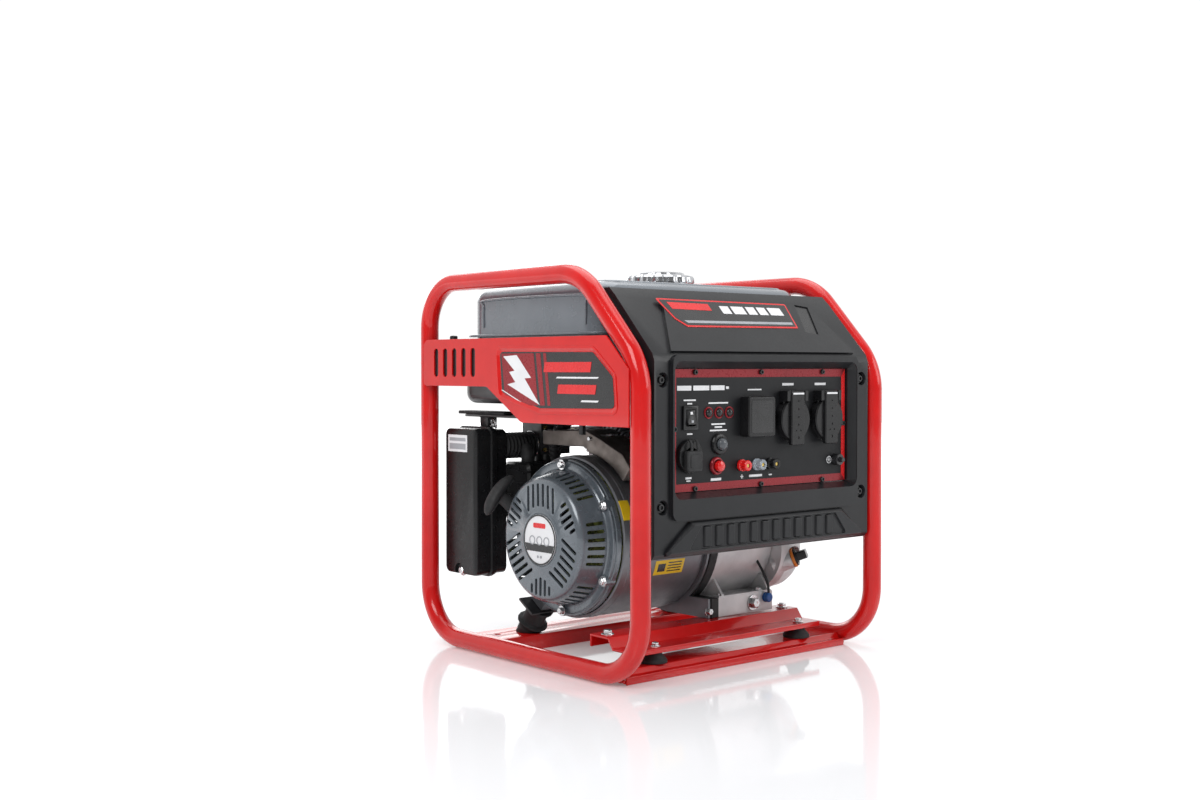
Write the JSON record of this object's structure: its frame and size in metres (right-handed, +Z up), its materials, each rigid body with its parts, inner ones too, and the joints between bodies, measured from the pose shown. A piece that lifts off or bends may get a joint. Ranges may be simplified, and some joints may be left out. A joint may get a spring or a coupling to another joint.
{
  "type": "inverter generator",
  "caption": "Open-frame inverter generator with a red tube frame, recoil-start engine, grey fuel tank and a dark control panel with covered sockets.",
  "frame": {"origin": "middle of the footprint on the ground", "axes": "+Z up, -Y out of the control panel, -X out of the recoil starter, crankshaft along X"},
  "size_m": [0.4026, 0.4095, 0.455],
  "materials": {
    "red_paint": "gloss",
    "black_steel": "satin",
    "rubber": "matte",
    "blue_grey_paint": "satin",
    "chrome": "polished",
    "grey_cast": "satin",
    "silver_cast": "cast",
    "charcoal_plastic": "satin",
    "plate_print": "satin",
    "black_plastic": "satin",
    "red_plastic": "gloss",
    "clear_plastic": "gloss",
    "steel": "machined",
    "copper": "enamelled winding",
    "fan_plastic": "moulded",
    "heat_steel": "heat stained",
    "foam": "open cell"
  },
  "bodies": {
    "frame": {"frame_loop_left": "red_paint", "frame_loop_right": "red_paint", "base_rail_front": "red_paint", "base_rail_rear": "red_paint", "engine_rail_front": "red_paint", "engine_rail_rear": "black_steel", "rubber_mount_front_left": "rubber", "rubber_mount_front_right": "rubber", "rubber_mount_rear_left": "rubber", "rubber_mount_rear_right": "rubber", "side_panel_left": "red_paint", "side_panel_right": "red_paint", "fuel_tank": "blue_grey_paint", "fuel_cock": "grey_cast", "fuel_hose": "rubber", "fascia": "charcoal_plastic", "control_plate": "plate_print", "inverter_module": "grey_cast", "display_box": "black_plastic", "engine_switch_housing": "black_plastic", "ac_socket_left": "black_plastic", "ac_socket_right": "black_plastic", "dc_socket": "black_plastic", "crankcase": "silver_cast", "crankcase_cover": "grey_cast", "case_gasket": "rubber", "cylinder": "grey_cast", "cylinder_head": "silver_cast", "spark_plug_cap": "rubber", "piston": "steel", "drum_housing": "grey_cast", "stator": "copper", "recoil_cover": "blue_grey_paint", "air_filter_base": "black_plastic", "air_filter_element": "foam", "filter_bracket": "black_steel", "intake_boot": "rubber", "carburetor": "black_plastic", "muffler": "heat_steel", "engine_shroud": "heat_steel"},
    "fuel_cap": {"fuel_cap": "chrome"},
    "recoil_handle": {"recoil_handle": "black_plastic"},
    "recoil_pulley": {"recoil_pulley": "black_plastic"},
    "crank": {"crankshaft": "steel", "flywheel_rotor": "steel", "cooling_fan": "fan_plastic"},
    "engine_switch_rocker": {"engine_switch_rocker": "black_plastic"},
    "reset_button": {"reset_button": "clear_plastic"},
    "breaker_button": {"breaker_button": "red_plastic"},
    "ac_lid_left": {"ac_lid_left": "black_plastic"},
    "ac_lid_right": {"ac_lid_right": "black_plastic"},
    "dc_socket_cap": {"dc_socket_cap": "rubber"},
    "red_post_knob": {"red_post_knob": "red_plastic"},
    "clear_post_knob": {"clear_post_knob": "clear_plastic"},
    "black_post_knob": {"black_post_knob": "black_plastic"},
    "ground_nut": {"ground_nut": "steel"},
    "oil_dipstick": {"oil_dipstick": "black_plastic"},
    "air_filter_cover": {"air_filter_cover": "black_plastic"},
    "choke_lever": {"choke_lever": "black_plastic"},
    "fuel_cock_lever": {"fuel_cock_lever": "black_plastic"}
  },
  "joints": [
    {"name": "fuel_cap_turn", "type": "hinge", "parent": "frame", "child": "fuel_cap", "pos_m": [0.03, 0.012, 0.44], "axis": [0, 0, 1], "range_deg": [0, 90]},
    {"name": "recoil_pull", "type": "slide", "parent": "frame", "child": "recoil_handle", "axis": [-0.7089, 0.2532, 0.6583], "range_m": [0, 0.6], "stiffness_N_per_m": 12, "springref_m": -0.25},
    {"name": "recoil_spool", "type": "hinge", "parent": "frame", "child": "recoil_pulley", "pos_m": [-0.16, -0.007, 0.1415], "axis": [1, 0, 0], "range_deg": [0, 960]},
    {"name": "crank_spin", "type": "hinge", "parent": "frame", "child": "crank", "pos_m": [0, -0.007, 0.1415], "axis": [1, 0, 0], "continuous": true},
    {"name": "engine_switch", "type": "hinge", "parent": "frame", "child": "engine_switch_rocker", "pos_m": [-0.1133, -0.1895, 0.2841], "axis": [1, 0, 0], "range_deg": [0, 20]},
    {"name": "reset_press", "type": "slide", "parent": "frame", "child": "reset_button", "axis": [0, 1, 0], "range_m": [0, 0.002], "stiffness_N_per_m": 800, "springref_m": -0.001},
    {"name": "breaker_press", "type": "slide", "parent": "frame", "child": "breaker_button", "axis": [0, 1, 0], "range_m": [0, 0.002], "stiffness_N_per_m": 800, "springref_m": -0.001},
    {"name": "ac_lid_left_lift", "type": "hinge", "parent": "frame", "child": "ac_lid_left", "pos_m": [0.0455, -0.1985, 0.3085], "axis": [-1, 0, 0], "range_deg": [0, 105], "stiffness_Nm_per_rad": 0.02, "springref_deg": -28.65},
    {"name": "ac_lid_right_lift", "type": "hinge", "parent": "frame", "child": "ac_lid_right", "pos_m": [0.1035, -0.1985, 0.3085], "axis": [-1, 0, 0], "range_deg": [0, 105], "stiffness_Nm_per_rad": 0.02, "springref_deg": -28.65},
    {"name": "dc_cap_lift", "type": "hinge", "parent": "frame", "child": "dc_socket_cap", "pos_m": [-0.115, -0.1965, 0.26], "axis": [-1, 0, 0], "range_deg": [0, 110]},
    {"name": "red_post_turn", "type": "hinge", "parent": "frame", "child": "red_post_knob", "pos_m": [-0.0345, -0.1895, 0.23], "axis": [0, -1, 0], "range_deg": [0, 720]},
    {"name": "clear_post_turn", "type": "hinge", "parent": "frame", "child": "clear_post_knob", "pos_m": [-0.0105, -0.1895, 0.23], "axis": [0, -1, 0], "range_deg": [0, 720]},
    {"name": "black_post_turn", "type": "hinge", "parent": "frame", "child": "black_post_knob", "pos_m": [0.0115, -0.1895, 0.23], "axis": [0, -1, 0], "range_deg": [0, 720]},
    {"name": "ground_nut_turn", "type": "hinge", "parent": "frame", "child": "ground_nut", "pos_m": [0.124, -0.1895, 0.2302], "axis": [0, -1, 0], "range_deg": [0, 720]},
    {"name": "oil_dipstick_turn", "type": "hinge", "parent": "frame", "child": "oil_dipstick", "pos_m": [0.13181, -0.11652, 0.10579], "axis": [0.5535, -0.7547, 0.3522], "range_deg": [0, 720]},
    {"name": "filter_cover_lift", "type": "hinge", "parent": "frame", "child": "air_filter_cover", "pos_m": [-0.15, 0.1466, 0.266], "axis": [0, 1, 0], "range_deg": [0, 60]},
    {"name": "choke_turn", "type": "hinge", "parent": "frame", "child": "choke_lever", "pos_m": [-0.058, 0.1077, 0.246], "axis": [0, -1, 0], "range_deg": [0, 70]},
    {"name": "fuel_cock_turn", "type": "hinge", "parent": "frame", "child": "fuel_cock_lever", "pos_m": [-0.1263, -0.03, 0.285], "axis": [-1, 0, 0], "range_deg": [0, 90]}
  ],
  "couplings": [
    {"joint": "recoil_spool", "follows": "recoil_pull", "rad_per_m": 27}
  ]
}
